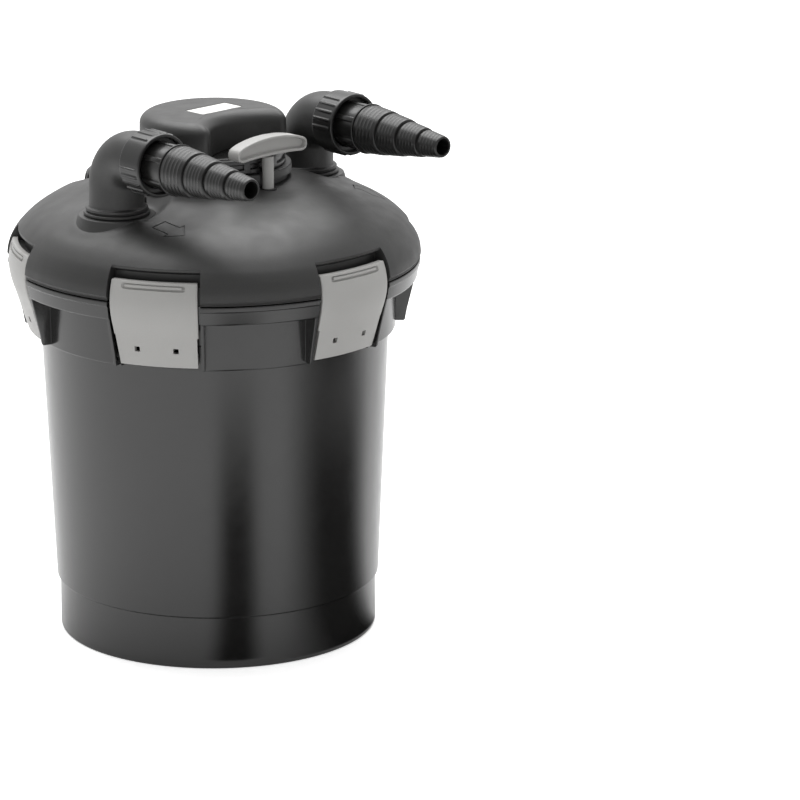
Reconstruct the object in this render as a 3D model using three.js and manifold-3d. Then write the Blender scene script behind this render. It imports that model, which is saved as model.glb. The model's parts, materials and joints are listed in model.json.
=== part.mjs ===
// A pond pressure filter: a black tapered tank closed by a domed lid with six clips, two swivelling
// hose elbows, a capped drain port, a pull handle that squeezes the foams, and a lamp head in the middle.
// Millimetres, +Z up. The origin is the centre of the tank's underside. The front, -Y, is the handle's side.
import * as THREE from "three";
import { mergeVertices } from "three/addons/utils/BufferGeometryUtils.js";
import Module from "manifold-3d";

const wasm = await Module();
wasm.setup();

// ---------------------------------------------------------------- driving dimensions
const gap = 0.4; // air left between pieces that touch in the real filter
const through = 1; // how far a cutter runs past the surface it opens

const baseRadius = 147.6;
const plinthHeight = 48.5;
const floorThickness = 5;
const tankWall = 3.6;
const bodyRadiusLow = 150.4; // just above the plinth
const bodyRadiusHigh = 160.5; // under the collar
const collarBottom = 287;
const collarRadius = 167;
const flangeBottom = 334;
const tankTop = 351.4;
const tankBore = 157.5;
const rimRadius = 190;

const lidBottom = 352.3;
const lidRadius = 190.6;
const lidBore = 160;
const neckRadius = 71.7;
const neckTop = 441;
const neckBore = 45;

const clipCount = 6;
const clipHalfAngle = 12.5; // degrees either side of the clip's middle
const recessHalfAngle = 13.2;
const cheekHalfAngle = 14.1;
const clipPivot = { r: 168.2, z: 296.5 };
const trunnionRadius = 2.2;

const portDistance = 119; // hose ports, left and right of the middle
const drainDistance = 135; // drain port, behind the middle
const bossTop = 412;
const bossRadius = 34.5; // a port boss at its top; it widens downwards
const bossFoot = 41;
const drainTop = 395.4; // the drain port is sunk into the dome
const bossBore = 22.4;
const pipeRadius = 25;
const pipeBore = 20;
const bendRadius = 30;
const armHeight = 467.6; // the hose axis above the floor
const armEnd = 54; // the elbow's end face, in front of its port
const armSwing = -4.2; // degrees that both elbows stand off the front at rest
const nutStart = 41.5;
const nutEnd = 68.5;
const nutRadius = 28.6;
const tailEnd = 192;

const rodDistance = 72.6; // pull rod, in front of the middle
const rodRadius = 5.25;
const gripBottom = 457.6;

const headRadius = 67.5;
const headBottom = 455.4;
const headTop = 483.5;
const scoopDepth = 22.5; // from the middle to the scooped front, at its deepest
const carrierRadius = 55;

const foamRadius = 142;
const foamBore = 52;
const foamHeight = 50;
const foamCount = 5;
const foamBottom = 45;
const foamTop = foamBottom + foamCount * foamHeight;
const plateThickness = 6;

const ringSides = 36; // facets round the tank and the lid
const pipeSides = 16; // facets round pipes, nuts and rings
const smallSides = 8; // facets round rods and pins

// ---------------------------------------------------------------- finishes
const finish = (color, roughness, metalness = 0) => ({ color, roughness, metalness });
const blackShell = finish(0x24262a, 0.45);
const blackTextured = finish(0x26282a, 0.6);
const blackGloss = finish(0x1c1e20, 0.35);
const greyPlastic = finish(0xa8a7a1, 0.5);
const rubber = finish(0x141414, 0.85);
const whitePlastic = finish(0xe9e9e6, 0.6);
const blueFoam = finish(0x2f5f9e, 0.95);
const redFoam = finish(0xa8322c, 0.95);
const clearGlass = finish(0xdfeef2, 0.05);
const zinc = finish(0x9a9da0, 0.35, 0.9);

// ---------------------------------------------------------------- solids from geometry
// A closed geometry as a solid, its faces turned outwards whichever way they were wound.
function solid(geometry) {
  const bare = geometry.clone();
  bare.deleteAttribute("normal");
  bare.deleteAttribute("uv");
  const merged = mergeVertices(bare, 1e-4);
  const positions = merged.attributes.position.array;
  const index = merged.index.array;
  const corner = (i) => new THREE.Vector3().fromArray(positions, 3 * i);
  const triangles = [];
  let volume = 0;
  for (let i = 0; i < index.length; i += 3) {
    const [a, b, c] = index.slice(i, i + 3);
    if (a === b || b === c || c === a) continue;
    triangles.push(a, b, c);
    volume += corner(a).dot(corner(b).cross(corner(c)));
  }
  if (volume < 0) triangles.reverse();
  const triVerts = new Uint32Array(triangles);
  return new wasm.Manifold(new wasm.Mesh({ numProp: 3, vertProperties: positions, triVerts }));
}

const joined = (...geometries) => geometries.map(solid).reduce((all, next) => all.add(next));
const without = (body, ...cutters) => cutters.map(solid).reduce((left, next) => left.subtract(next), body);

function geometryOf(body) {
  const { vertProperties, triVerts } = body.getMesh();
  const geometry = new THREE.BufferGeometry();
  geometry.setAttribute("position", new THREE.BufferAttribute(vertProperties, 3));
  geometry.setIndex(new THREE.BufferAttribute(triVerts, 1));
  geometry.computeVertexNormals();
  return geometry;
}

// A named mesh in one finish, from a geometry or from a solid.
function piece(name, shape, look) {
  const geometry = geometryOf(shape.isBufferGeometry ? solid(shape) : shape);
  const mesh = new THREE.Mesh(geometry, new THREE.MeshStandardMaterial(look));
  mesh.name = name;
  return mesh;
}

// ---------------------------------------------------------------- geometry helpers
const radians = THREE.MathUtils.degToRad;

// A closed outline of [radius, height] points turned round the Z axis.
function turned(outline, sides = pipeSides) {
  const points = [...outline, outline[0]].map(([r, z]) => new THREE.Vector2(r, z));
  return new THREE.LatheGeometry(points, sides).rotateX(Math.PI / 2);
}

// A disc, or a ring where inner is over zero, of rectangular section round the Z axis.
function ring(inner, outer, bottom, top, sides = pipeSides) {
  return turned([[inner, bottom], [outer, bottom], [outer, top], [inner, top]], sides);
}

const block = (width, depth, height, x, y, z) =>
  new THREE.BoxGeometry(width, depth, height).translate(x, y, z);

// Rings of points, each ring with the same count, skinned into one closed body with flat ends.
function skinned(rings, endTriangles) {
  const count = rings[0].length;
  const last = (rings.length - 1) * count;
  const index = [];
  for (let start = 0; start < last; start += count) {
    for (let i = 0; i < count; i++) {
      const here = start + i;
      const next = start + ((i + 1) % count);
      index.push(here, here + count, next + count, here, next + count, next);
    }
  }
  for (const [a, b, c] of endTriangles) index.push(a, b, c, a + last, c + last, b + last);
  const geometry = new THREE.BufferGeometry();
  geometry.setAttribute("position", new THREE.Float32BufferAttribute(rings.flat(2), 3));
  geometry.setIndex(index);
  return geometry;
}

// A closed outline of [radius, height] points, counter-clockwise, swept round Z between two bearings.
// Bearings are in degrees from the front, -Y, towards +X.
function sector(outline, from, to, steps) {
  const flat = outline.map(([r, z]) => new THREE.Vector2(r, z));
  const rings = [];
  for (let step = 0; step <= steps; step++) {
    const angle = radians(from + ((to - from) * step) / steps);
    rings.push(flat.map(({ x, y }) => [x * Math.sin(angle), -x * Math.cos(angle), y]));
  }
  return skinned(rings, THREE.ShapeUtils.triangulateShape(flat, []));
}

// A round bar that rises from a height on the Z axis, bends over and runs forward, along -Y.
function bentBar(radius, bottom, end, sides = pipeSides) {
  const bendSteps = 4;
  const stations = [{ y: 0, z: bottom, tilt: 0 }];
  for (let step = 0; step <= bendSteps; step++) {
    const tilt = (Math.PI / 2) * (step / bendSteps);
    const y = -bendRadius * (1 - Math.cos(tilt));
    const z = armHeight - bendRadius * (1 - Math.sin(tilt));
    stations.push({ y, z, tilt });
  }
  stations.push({ y: -end, z: armHeight, tilt: Math.PI / 2 });
  const rings = stations.map(({ y, z, tilt }) =>
    Array.from({ length: sides }, (_, i) => {
      const angle = (2 * Math.PI * i) / sides;
      const out = radius * Math.sin(angle);
      return [radius * Math.cos(angle), y + out * Math.cos(tilt), z + out * Math.sin(tilt)];
    }),
  );
  const fan = Array.from({ length: sides - 2 }, (_, i) => [0, i + 1, i + 2]);
  return skinned(rings, fan);
}

// A piece drawn standing on the Z axis, laid along the hose axis so that its height runs forward.
const alongArm = (geometry) => geometry.rotateX(Math.PI / 2).translate(0, 0, armHeight);

const drawnShape = (draw) => {
  const shape = new THREE.Shape();
  draw(shape);
  return shape;
};

const extruded = (shape, bottom, height, curveSegments = 4) =>
  new THREE.ExtrudeGeometry(shape, { depth: height, bevelEnabled: false, curveSegments })
    .translate(0, 0, bottom);

// ---------------------------------------------------------------- clip outlines, in radius and height
const clipFace = [
  [172.8, 291.5], [177, 304.5], [182.5, 322.5], [187.5, 338], [189.3, 351], [187.9, 363], [184.9, 372],
];
const clipBack = [[182.5, 368.4], [183, 362.5], [184.8, 351], [183.2, 339.5], [178.3, 324], [173, 306.5]];
const clipHook = [[180.2, 372], [180.2, 368.4]];
const clipHub = [[169.5, 301.5], [165, 300.3], [163.2, 296.5], [165, 292.7], [168.2, 291.3]];
const ledgeHeight = 367.6; // the lid ledge that the clip's hook bears on
const recessBack = 179.6; // the lid's edge over the hook, undercut below
const lockHoleAngle = 5.8; // degrees either side of the clip's middle

// ---------------------------------------------------------------- tank
function tankShell() {
  const outside = [
    [0, 0], [baseRadius - 2, 0], [baseRadius, 2], [baseRadius, plinthHeight], [bodyRadiusLow, plinthHeight + 2],
    [bodyRadiusHigh, collarBottom], [collarRadius, collarBottom], [collarRadius + 0.6, flangeBottom],
    [rimRadius - 3.2, flangeBottom], [rimRadius, tankTop],
  ];
  const inside = [
    [tankBore, tankTop], [tankBore, collarBottom + 12], [bodyRadiusHigh - tankWall, collarBottom],
    [bodyRadiusLow - tankWall, plinthHeight + 3], [baseRadius - tankWall, plinthHeight],
    [baseRadius - tankWall, floorThickness], [0, floorThickness],
  ];
  const cheekOutline = [
    [collarRadius - 2, 289], [175.5, 289], [177.5, 300], [186, flangeBottom + 0.5],
    [collarRadius - 2, flangeBottom + 0.5],
  ];
  const pocketOutline = [
    [161.5, collarBottom - through], [rimRadius + 10, collarBottom - through], [rimRadius + 10, tankTop + through],
    [184, tankTop + through], [184, 351], [182.4, 339], [180.6, flangeBottom - 1], [168.5, 312], [161.5, 308],
  ];
  let shell = joined(turned([...outside, ...inside], ringSides));
  for (let clip = 0; clip < clipCount; clip++) {
    const bearing = (360 / clipCount) * clip;
    const cheeks = [-1, 1].map((side) => {
      const inner = bearing + side * (recessHalfAngle - 0.1);
      const outer = bearing + side * cheekHalfAngle;
      return sector(cheekOutline, Math.min(inner, outer), Math.max(inner, outer), 1);
    });
    const pocket = sector(pocketOutline, bearing - recessHalfAngle, bearing + recessHalfAngle, 4);
    const pinHoles = new THREE.CylinderGeometry(trunnionRadius + 0.4, trunnionRadius + 0.4, 2 * 40.2, 10)
      .rotateZ(Math.PI / 2)
      .translate(0, -clipPivot.r, clipPivot.z)
      .rotateZ(radians(bearing));
    shell = without(shell.add(joined(...cheeks)), pocket, pinHoles);
  }
  return shell;
}

// ---------------------------------------------------------------- clips
function clip(bearing) {
  const outline = [...clipFace, clipHook[0], clipHook[1], ...clipBack, ...clipHub];
  const plate = sector(outline, -clipHalfAngle, clipHalfAngle, 3);
  const trunnionLength = 2 * 39.8; // it ends inside the outer face of each cheek
  const trunnions = new THREE.CylinderGeometry(trunnionRadius, trunnionRadius, trunnionLength, smallSides)
    .rotateZ(Math.PI / 2)
    .translate(0, -clipPivot.r, clipPivot.z);
  const lockHoles = [-lockHoleAngle, lockHoleAngle].map((angle) =>
    block(5, 12, 5, 0, -177, 308).rotateZ(radians(angle)));
  const fingerGroove = block(62, 6, 5, 0, -190.6, 368.5);
  const body = without(joined(plate, trunnions), ...lockHoles, fingerGroove);
  return geometryOf(body).rotateZ(radians(bearing));
}

// ---------------------------------------------------------------- lid
// A port boss standing on the dome, drawn on the Z axis.
const portBoss = (top) =>
  turned([[0, top - 22], [bossFoot, top - 22], [bossRadius + 1.5, top - 3], [bossRadius, top], [0, top]]);

// The dish that clears the boss's upper face where the dome stands higher.
const portDish = (top, flare, height) =>
  turned([[0, top], [bossRadius + 0.4, top], [bossRadius + 0.4 + flare, top + height], [0, top + height]]);

const atHosePorts = (geometry) => [-portDistance, portDistance].map((x) => geometry.clone().translate(x, 0, 0));
const atDrain = (geometry) => geometry.translate(0, drainDistance, 0);

function lidShell() {
  const dome = [
    [lidRadius - 0.6, lidBottom], [lidRadius, 356.5], [189.4, 364.5], [186.4, 373], [180, 382.6], [167, 394.2],
    [148, 404.8], [120, 415.4], [95, 423], [neckRadius + 2, 427.4],
  ];
  const neck = [
    [68, 428], [68, 432.6], [neckRadius, 433], [neckRadius, neckTop], [neckBore, neckTop], [neckBore, 423.6],
  ];
  const ceiling = [[90, 419], [122, 408.5], [148, 396], [lidBore, 378], [lidBore, lidBottom]];
  const recessOutline = [
    [184, lidBottom - through], [lidRadius + 10, lidBottom - through], [lidRadius + 10, 400], [recessBack, 400],
    [recessBack, 380.6], [174, 378], [174, ledgeHeight], [182, ledgeHeight], [182.2, 362], [184, 351.5],
  ];
  const sealGroove = ring(lidBore + 3.4, lidBore + 12.6, lidBottom - through, lidBottom + 3.2, ringSides);
  // The wall of the well round the drain port: a thick pipe that ends at the dome's outer face.
  const filledDome = turned([[0, lidBottom], ...dome, [0, neckTop]], ringSides);
  const drainWall = solid(atDrain(ring(0, bossFoot, drainTop - 22, neckTop))).intersect(solid(filledDome));
  const drainSpigot = atDrain(ring(15, 24.5, drainTop - 2, drainTop + 11));
  const openings = [
    ...atHosePorts(ring(0, bossBore, 380, bossTop + through, 20)),
    atDrain(ring(0, 18.5, drainTop - 32, drainTop + 18)),
    ring(0, 7.6, 400, neckTop + through, smallSides).translate(0, -rodDistance, 0),
    block(17.2, 12, 20, 0, -rodDistance + 3, 438.6),
  ];
  const recesses = Array.from({ length: clipCount }, (_, i) => {
    const bearing = (360 / clipCount) * i;
    return sector(recessOutline, bearing - recessHalfAngle, bearing + recessHalfAngle, 4);
  });
  const bosses = [...atHosePorts(portBoss(bossTop)), atDrain(portBoss(drainTop))];
  const body = joined(turned([...dome, ...neck, ...ceiling], ringSides), ...bosses).add(drainWall);
  const dished = without(body, ...atHosePorts(portDish(bossTop, 9.6, 17)), atDrain(portDish(drainTop, 1.6, 32)));
  return without(dished.add(solid(drainSpigot)), sealGroove, ...openings, ...recesses);
}

const lidSeal = () => ring(lidBore + 3.8, lidBore + 12.2, tankTop + 0.2, lidBottom + 2.8, ringSides);

// ---------------------------------------------------------------- hose port, drawn with its port on the Z axis
function elbow(lugSide) {
  const outer = bentBar(pipeRadius, bossTop + gap, armEnd);
  const foot = turned([[0, bossTop + gap], [30, bossTop + gap], [30, 415], [27.6, 418], [0, 418]]);
  const spigot = turned([[0, 394], [20.4, 394], [20.4, 416], [0, 416]]);
  const lug = block(7, 9, 11, lugSide * 27.5, 0, 418);
  const bore = bentBar(pipeBore - 1.5, 390, armEnd + through);
  return without(joined(outer, foot, spigot, lug), bore);
}

const portSeal = () => ring(20.7, 21.9, 400, 403);

// The union nut: a web in front holds the hose tail's flange, and ribs give grip.
function unionNut() {
  const webStart = armEnd + 5;
  const webEnd = webStart + 3;
  const body = turned([
    [pipeRadius + gap, nutStart], [nutRadius, nutStart], [nutRadius, nutEnd], [25.5, nutEnd], [25.5, webEnd],
    [21.2, webEnd], [21.2, webStart], [pipeRadius + gap, webStart],
  ], 20);
  const ribCount = 6;
  const ribs = Array.from({ length: ribCount }, (_, i) =>
    block(4, 2.6, nutEnd - nutStart - 3, 0, nutRadius, (nutStart + nutEnd) / 2)
      .rotateZ((2 * Math.PI * i) / ribCount),
  );
  return alongArm(geometryOf(joined(body, ...ribs)));
}

const tailWasher = () => alongArm(ring(17, 24.2, armEnd + 0.3, armEnd + 2.3));

// The hose tail: a flange inside the nut, a collar, and four steps for four sizes of hose.
function hoseTail() {
  const flange = [[16, armEnd + 2.6], [24.3, armEnd + 2.6], [24.3, armEnd + 4.7], [20.6, armEnd + 4.7]];
  const steps = [
    [20.6, 90.5], [23.4, 91], [20.4, 119], [19.2, 120.5], [17.2, 144], [15.6, 145.5], [13.6, 168.5], [12, 170],
    [9.7, tailEnd],
  ];
  const bore = [[7.6, tailEnd], [7.6, 165], [14, 116]];
  return alongArm(turned([...flange, ...steps, ...bore]));
}

const drainCap = () => {
  const capHeight = 21;
  const skirt = [[29.6, gap], [29.6, 8], [28, 13.5], [23, 18.5], [16, 20.4], [0, capHeight]];
  const hollow = [[0, 14.5], [25.4, 14.5], [25.4, gap]];
  return atDrain(turned([...skirt, ...hollow]).translate(0, 0, drainTop));
};

const drainSeal = () => atDrain(ring(19, 24.2, drainTop + 11.3, drainTop + 13.8));

// ---------------------------------------------------------------- pull handle and filter cartridge
function handleGrip() {
  const halfWidth = 43;
  const thickness = 14;
  const shape = drawnShape((path) => {
    path.moveTo(-halfWidth + 4, 0);
    path.lineTo(halfWidth - 4, 0);
    path.quadraticCurveTo(halfWidth + 0.5, 3, halfWidth, 8);
    path.quadraticCurveTo(halfWidth - 6, 18.4, 0, 18.8);
    path.quadraticCurveTo(-halfWidth + 6, 18.4, -halfWidth, 8);
    path.quadraticCurveTo(-halfWidth - 0.5, 3, -halfWidth + 4, 0);
  });
  const panel = block(66, 3, 9, 0, -rodDistance - thickness / 2, gripBottom + 8);
  const bar = extruded(shape, -thickness / 2, thickness)
    .rotateX(Math.PI / 2)
    .translate(0, -rodDistance, gripBottom);
  return without(joined(bar), panel);
}

const onRod = (geometry) => geometry.translate(0, -rodDistance, 0);

const plateBottom = foamBottom - plateThickness - 0.3;
const topPlateBottom = foamTop + 0.3;

// A round plate with a middle hole, a rod hole and a ring of water windows.
function perforatedPlate(bottom, middleHole, rodHole) {
  const windowCount = 6;
  const windows = Array.from({ length: windowCount }, (_, i) => {
    const middle = (360 / windowCount) * (i + 0.5);
    const outline = [[88, bottom - through], [132, bottom - through], [132, bottom + 10], [88, bottom + 10]];
    return sector(outline, middle - 18, middle + 18, 1);
  });
  const disc = ring(middleHole, foamRadius - 1, bottom, bottom + plateThickness, 24);
  return without(solid(disc), onRod(ring(0, rodHole, bottom - 5, bottom + 10, smallSides)), ...windows);
}

function foamRing(level) {
  const bottom = foamBottom + level * foamHeight;
  const rodHole = onRod(ring(0, 8, bottom - 5, bottom + foamHeight + 5, smallSides));
  return without(solid(ring(foamBore, foamRadius, bottom + 0.1, bottom + foamHeight - 0.1, 20)), rodHole);
}

function centreTube() {
  const bottom = 34;
  const top = 422.8;
  const slots = [];
  for (let level = 0; level < foamCount; level++) {
    const height = foamBottom + foamHeight * (level + 0.5);
    slots.push(block(9, 120, 34, 0, 0, height).rotateZ(radians(90 * level)));
  }
  return without(solid(ring(47, 50, bottom, top)), ...slots);
}

// ---------------------------------------------------------------- lamp head
// The head's plan: a circle whose front is scooped out between two soft corners, to free the handle.
function headPlan(inset) {
  const radius = headRadius - inset;
  const cornerBearing = radians(52 - inset * 0.3); // degrees either side of the front
  const corner = { x: radius * Math.sin(cornerBearing), y: -radius * Math.cos(cornerBearing) };
  const scoopTop = -(scoopDepth - inset);
  return drawnShape((path) => {
    path.moveTo(corner.x, corner.y);
    path.absarc(0, 0, radius, cornerBearing - Math.PI / 2, 1.5 * Math.PI - cornerBearing, false);
    path.quadraticCurveTo(-corner.x + 4, corner.y - 2, -corner.x + 10, corner.y + 3);
    path.quadraticCurveTo(0, 2 * scoopTop - corner.y - 3, corner.x - 10, corner.y + 3);
    path.quadraticCurveTo(corner.x - 4, corner.y - 2, corner.x, corner.y);
  });
}

const labelCentre = { x: 6, y: 5 };
const labelTop = 488.4;

function headCap() {
  const crown = turned([
    [0, headBottom], [headRadius + 1, headBottom], [headRadius + 1, headTop - 4], [headRadius - 3, headTop + 1],
    [headRadius - 14, headTop + 3.4], [0, headTop + 5.5],
  ], 32);
  const hollow = extruded(headPlan(3.4), headBottom - through, 25, 5);
  const pillar = ring(0, 5, headBottom, headTop, smallSides);
  const pillars = screwPlaces.map(([x, y]) => pillar.clone().translate(x, y, 0));
  const pilotHole = ring(0, 2, headBottom - through, headBottom + 12, 8);
  const pilotHoles = screwPlaces.map(([x, y]) => pilotHole.clone().translate(x, y, 0));
  const labelPocket = block(50, 24, 4, labelCentre.x, labelCentre.y, labelTop + 1);
  const glandHole = cableFrom(new THREE.CylinderGeometry(7.3, 7.3, 30, pipeSides), headRadius);
  const shell = solid(extruded(headPlan(0), headBottom, 40, 5)).intersect(solid(crown));
  const body = without(shell, hollow).add(joined(...pillars).intersect(solid(crown)));
  return without(body, ...pilotHoles, labelPocket, glandHole);
}

const screwDistance = 49;
const screwPlaces = [[-screwDistance, 0], [screwDistance, 0], [0, screwDistance]];

const headLabel = () => block(49.2, 23.2, 0.8, labelCentre.x, labelCentre.y, labelTop - 0.5);

// The carrier closes the head from below and plugs into the lid's neck.
function lampCarrier() {
  const flangeBottomHeight = headBottom - gap - 4.6;
  const body = turned([
    [24.4, 426], [43.6, 426], [43.6, 431.5], [41.6, 431.5], [41.6, 435.5], [43.6, 435.5], [43.6, flangeBottomHeight],
    [carrierRadius, flangeBottomHeight], [carrierRadius, headBottom - gap], [24.4, headBottom - gap],
  ]);
  const screwHole = ring(0, 2.4, 440, 460, 6);
  const holes = screwPlaces.map(([x, y]) => screwHole.clone().translate(x, y, 0));
  return without(solid(body), ...holes);
}

function capScrew([x, y]) {
  const headBase = headBottom - gap - 6.8;
  const shank = [[0, headBase], [3.8, headBase], [3.8, headBase + 2], [1.8, headBase + 2], [1.8, headBottom + 10]];
  return turned([...shank, [0, headBottom + 10]], 6).translate(x, y, 0);
}

const carrierSeal = () => ring(41.9, 44.6, 431.9, 435.1);

function bayonetRing() {
  const inner = carrierRadius + 1;
  const outer = 66.4;
  const notch = block(6, 4, 8, 0, outer + 0.6, 448.4);
  const notches = Array.from({ length: 6 }, (_, i) => notch.clone().rotateZ(radians(60 * i + 30)));
  return without(solid(ring(inner, outer, neckTop + gap, headBottom - gap, 32)), ...notches);
}

function quartzSleeve() {
  const outer = 22.5;
  const inner = 20.9;
  const bottom = 120;
  const domeSteps = 2;
  const arc = (radius) =>
    Array.from({ length: domeSteps + 1 }, (_, i) => {
      const angle = (Math.PI / 2) * (i / domeSteps);
      return [radius * Math.sin(angle), bottom + outer - radius * Math.cos(angle)];
    });
  return turned([...arc(outer), [outer, 446], [inner, 446], ...arc(inner).reverse()]);
}

const sleeveSeal = () => turned([[22.8, 422.4], [26.6, 422.4], [26.6, 425.6], [22.8, 425.6]]);
const sleeveNut = () => ring(23.2, 34, 412, 422, 18);

// A twin-tube lamp with its cap, hanging inside the sleeve.
function lamp() {
  const tube = ring(0, 8, 160, 432, smallSides);
  const bridge = block(24, 8, 8, 0, 0, 166);
  const cap = block(30, 17, 20, 0, 0, 438);
  return joined(tube.clone().translate(-9.4, 0, 0), tube.clone().translate(9.4, 0, 0), bridge, cap);
}

const lampSocket = () => block(32, 24, 12, 0, 0, 454.4);
const ballast = () => block(56, 34, 16, 4, 12, 469);

// The supply cable leaves the head at the back, between the drain port and the right-hand hose port.
const cableBearing = 150; // degrees from the front
const glandHeight = 468;
const cableRadius = 3.4;
const cableFrom = (geometry, distance) =>
  geometry.translate(0, -distance, glandHeight).rotateZ(radians(cableBearing));

function cableGland() {
  const start = headRadius - 5;
  const nut = { start: headRadius + 0.6, end: headRadius + 11 };
  const profile = turned([
    [cableRadius + 1.5, start], [7, start], [7, nut.start], [10, nut.start], [10, nut.end - 3], [7, nut.end],
    [cableRadius + 1.5, nut.end],
  ], smallSides);
  return profile.rotateX(Math.PI / 2).translate(0, 0, glandHeight).rotateZ(radians(cableBearing));
}

// The cable follows the dome outwards, passes the rim and hangs straight down beside the tank.
const hangDistance = 199.5;
const plugTop = 100;
const cableRun = [
  [headRadius - 3, glandHeight], [headRadius + 14, glandHeight], [102, 450], [122, 423], [145, 411.5],
  [163, 400.5], [179, 389], [191, 374], [197.5, 356], [hangDistance, 330], [hangDistance, 240],
  [hangDistance, plugTop - 8],
];

function powerCable() {
  const section = drawnShape((path) => path.absarc(0, 0, cableRadius, 0, 2 * Math.PI, false));
  const run = cableRun.map(([distance, height]) => new THREE.Vector3(0, -distance, height));
  const extrudePath = new THREE.CatmullRomCurve3(run, false, "centripetal");
  return new THREE.ExtrudeGeometry(section, { steps: 36, extrudePath, bevelEnabled: false, curveSegments: 3 })
    .rotateZ(radians(cableBearing));
}

// A flat two-pin plug that hangs from the cable, its pins down.
function mainsPlug() {
  const width = 35;
  const thickness = 13;
  const height = 36;
  const shape = drawnShape((path) => {
    path.moveTo(-width / 2, 0);
    path.lineTo(width / 2, 0);
    path.lineTo(width / 2 - 3, height - 12);
    path.lineTo(6, height);
    path.lineTo(-6, height);
    path.lineTo(-width / 2 + 3, height - 12);
  });
  const body = new THREE.ExtrudeGeometry(shape, { depth: thickness, bevelEnabled: false })
    .translate(0, 0, -thickness / 2)
    .rotateX(Math.PI / 2)
    .translate(0, -hangDistance, plugTop - height);
  const pins = [-9.5, 9.5].map((x) =>
    ring(0, 2, plugTop - height - 19, plugTop - height + 2, 6).translate(x, -hangDistance, 0));
  const cableHole = ring(0, cableRadius + gap, plugTop - 9, plugTop + through).translate(0, -hangDistance, 0);
  return geometryOf(without(joined(body, ...pins), cableHole)).rotateZ(radians(cableBearing));
}

// ---------------------------------------------------------------- the whole filter
const filter = new THREE.Group();
const add = (name, shape, look) => filter.add(piece(name, shape, look));

add("tank_shell", tankShell(), blackShell);
add("lid_seal", lidSeal(), rubber);
add("lid_shell", lidShell(), blackTextured);
for (let i = 0; i < clipCount; i++) add(`clip_${i + 1}`, clip((360 / clipCount) * i), greyPlastic);

for (const [suffix, side] of [["out", -1], ["in", 1]]) {
  const port = new THREE.Group();
  port.position.x = side * portDistance;
  port.rotation.z = radians(armSwing);
  port.add(
    piece(`elbow_${suffix}`, elbow(-side), blackTextured),
    piece(`port_seal_${suffix}`, portSeal(), rubber),
    piece(`union_nut_${suffix}`, unionNut(), blackGloss),
    piece(`tail_washer_${suffix}`, tailWasher(), rubber),
    piece(`hose_tail_${suffix}`, hoseTail(), blackGloss),
  );
  filter.add(port);
}

add("drain_cap", drainCap(), blackGloss);
add("drain_seal", drainSeal(), rubber);

add("handle_grip", handleGrip(), greyPlastic);
add("pull_rod", onRod(ring(0, rodRadius, 30, gripBottom - 0.3, smallSides)), greyPlastic);
add("rod_bush", onRod(ring(rodRadius + 0.35, 7.2, 420.5, 428, smallSides)), blackGloss);
add("rod_seal", onRod(ring(rodRadius + 0.35, 7.2, 417, 420, smallSides)), rubber);
add("rod_nut", onRod(ring(rodRadius + 0.3, 9, plateBottom - 8.3, plateBottom - 0.3, smallSides)), zinc);
add("pressure_plate", perforatedPlate(plateBottom, foamBore + 0.6, rodRadius + 0.4), blackShell);
add("top_plate", perforatedPlate(topPlateBottom, foamBore - 1.4, rodRadius + 1.2), blackShell);
for (let level = 0; level < foamCount; level++) {
  add(`foam_${level + 1}`, foamRing(level), level < 3 ? blueFoam : redFoam);
}
add("centre_tube", centreTube(), blackShell);

add("bayonet_ring", bayonetRing(), blackGloss);
add("head_cap", headCap(), blackTextured);
add("head_label", headLabel(), whitePlastic);
add("lamp_carrier", lampCarrier(), blackShell);
screwPlaces.forEach((place, i) => add(`cap_screw_${i + 1}`, capScrew(place), zinc));
add("carrier_seal", carrierSeal(), rubber);
add("quartz_sleeve", quartzSleeve(), clearGlass);
add("sleeve_seal", sleeveSeal(), rubber);
add("sleeve_nut", sleeveNut(), blackShell);
add("uvc_lamp", lamp(), whitePlastic);
add("lamp_socket", lampSocket(), whitePlastic);
add("ballast", ballast(), whitePlastic);
add("cable_gland", cableGland(), blackShell);
add("power_cable", powerCable(), rubber);
add("mains_plug", mainsPlug(), rubber);

export default filter;
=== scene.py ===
"""Looks for a pond pressure filter: moulded black tank and domed lid, grey clips and pull handle,
ribbed hose fittings, lamp head, foams and supply cable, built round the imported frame."""

import json
import math

import bmesh
import bpy
from mathutils import Matrix, Vector, noise

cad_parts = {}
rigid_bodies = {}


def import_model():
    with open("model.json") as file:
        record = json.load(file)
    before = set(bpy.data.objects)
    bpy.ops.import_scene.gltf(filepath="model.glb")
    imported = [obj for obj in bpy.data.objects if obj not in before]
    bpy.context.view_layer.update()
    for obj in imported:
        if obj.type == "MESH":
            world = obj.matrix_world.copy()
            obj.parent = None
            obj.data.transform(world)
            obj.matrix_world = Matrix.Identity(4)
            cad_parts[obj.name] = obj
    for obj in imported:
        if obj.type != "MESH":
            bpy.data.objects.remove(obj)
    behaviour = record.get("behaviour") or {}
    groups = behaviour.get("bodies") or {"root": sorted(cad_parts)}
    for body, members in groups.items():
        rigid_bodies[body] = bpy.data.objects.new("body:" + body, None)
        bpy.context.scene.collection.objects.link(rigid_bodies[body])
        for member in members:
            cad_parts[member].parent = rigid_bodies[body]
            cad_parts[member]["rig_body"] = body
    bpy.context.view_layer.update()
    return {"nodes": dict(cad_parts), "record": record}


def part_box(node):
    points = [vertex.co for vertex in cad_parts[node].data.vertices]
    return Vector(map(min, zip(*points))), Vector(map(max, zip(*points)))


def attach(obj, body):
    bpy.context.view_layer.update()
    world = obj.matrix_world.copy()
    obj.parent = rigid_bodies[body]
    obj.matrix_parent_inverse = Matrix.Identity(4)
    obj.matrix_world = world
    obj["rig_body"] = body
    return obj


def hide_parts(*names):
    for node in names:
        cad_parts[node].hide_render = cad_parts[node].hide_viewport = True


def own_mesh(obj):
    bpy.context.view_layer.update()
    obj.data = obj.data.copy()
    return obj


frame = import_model()

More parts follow.
